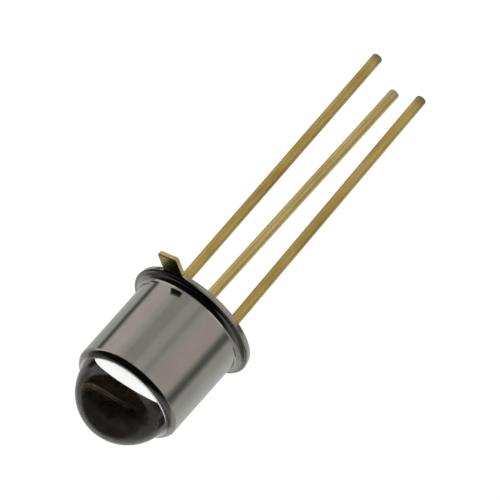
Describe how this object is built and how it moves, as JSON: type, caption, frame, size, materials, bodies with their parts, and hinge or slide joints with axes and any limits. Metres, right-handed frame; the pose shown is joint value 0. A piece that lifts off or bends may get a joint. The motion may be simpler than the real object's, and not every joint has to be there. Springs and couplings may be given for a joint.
{
  "type": "phototransistor",
  "caption": "Light-sensing transistor in a round metal can with a domed glass lens, a weld flange with an index tab, and gold-plated wire leads to solder into a board.",
  "frame": {"origin": "centre of the seating plane, the underside of the header's flange", "axes": "+Z along the optical axis out of the lens, leads along -Z; +X towards the emitter lead, +Y towards the base lead"},
  "size_m": [0.0056, 0.0056, 0.0199],
  "materials": {
    "gold_plated_header": "matt gold plate on an iron-nickel alloy",
    "seal_glass": "dark fused sealing glass",
    "gold_plated_lead": "matt gold plate on drawn iron-nickel wire",
    "gold_solder": "frozen gold-silicon solder",
    "silicon": "polished silicon chip",
    "gold_wire": "drawn gold wire",
    "lens_glass": "clear fire-polished glass",
    "nickel_plated_can": "bright nickel plate on a drawn can"
  },
  "bodies": {
    "root": {"header": "gold_plated_header", "glass_seal": "seal_glass", "emitter_lead": "gold_plated_lead", "base_lead": "gold_plated_lead", "collector_lead": "gold_plated_lead", "die_attach": "gold_solder", "chip": "silicon", "emitter_bond_wire": "gold_wire", "base_bond_wire": "gold_wire", "lens": "lens_glass", "cap": "nickel_plated_can"}
  },
  "joints": []
}
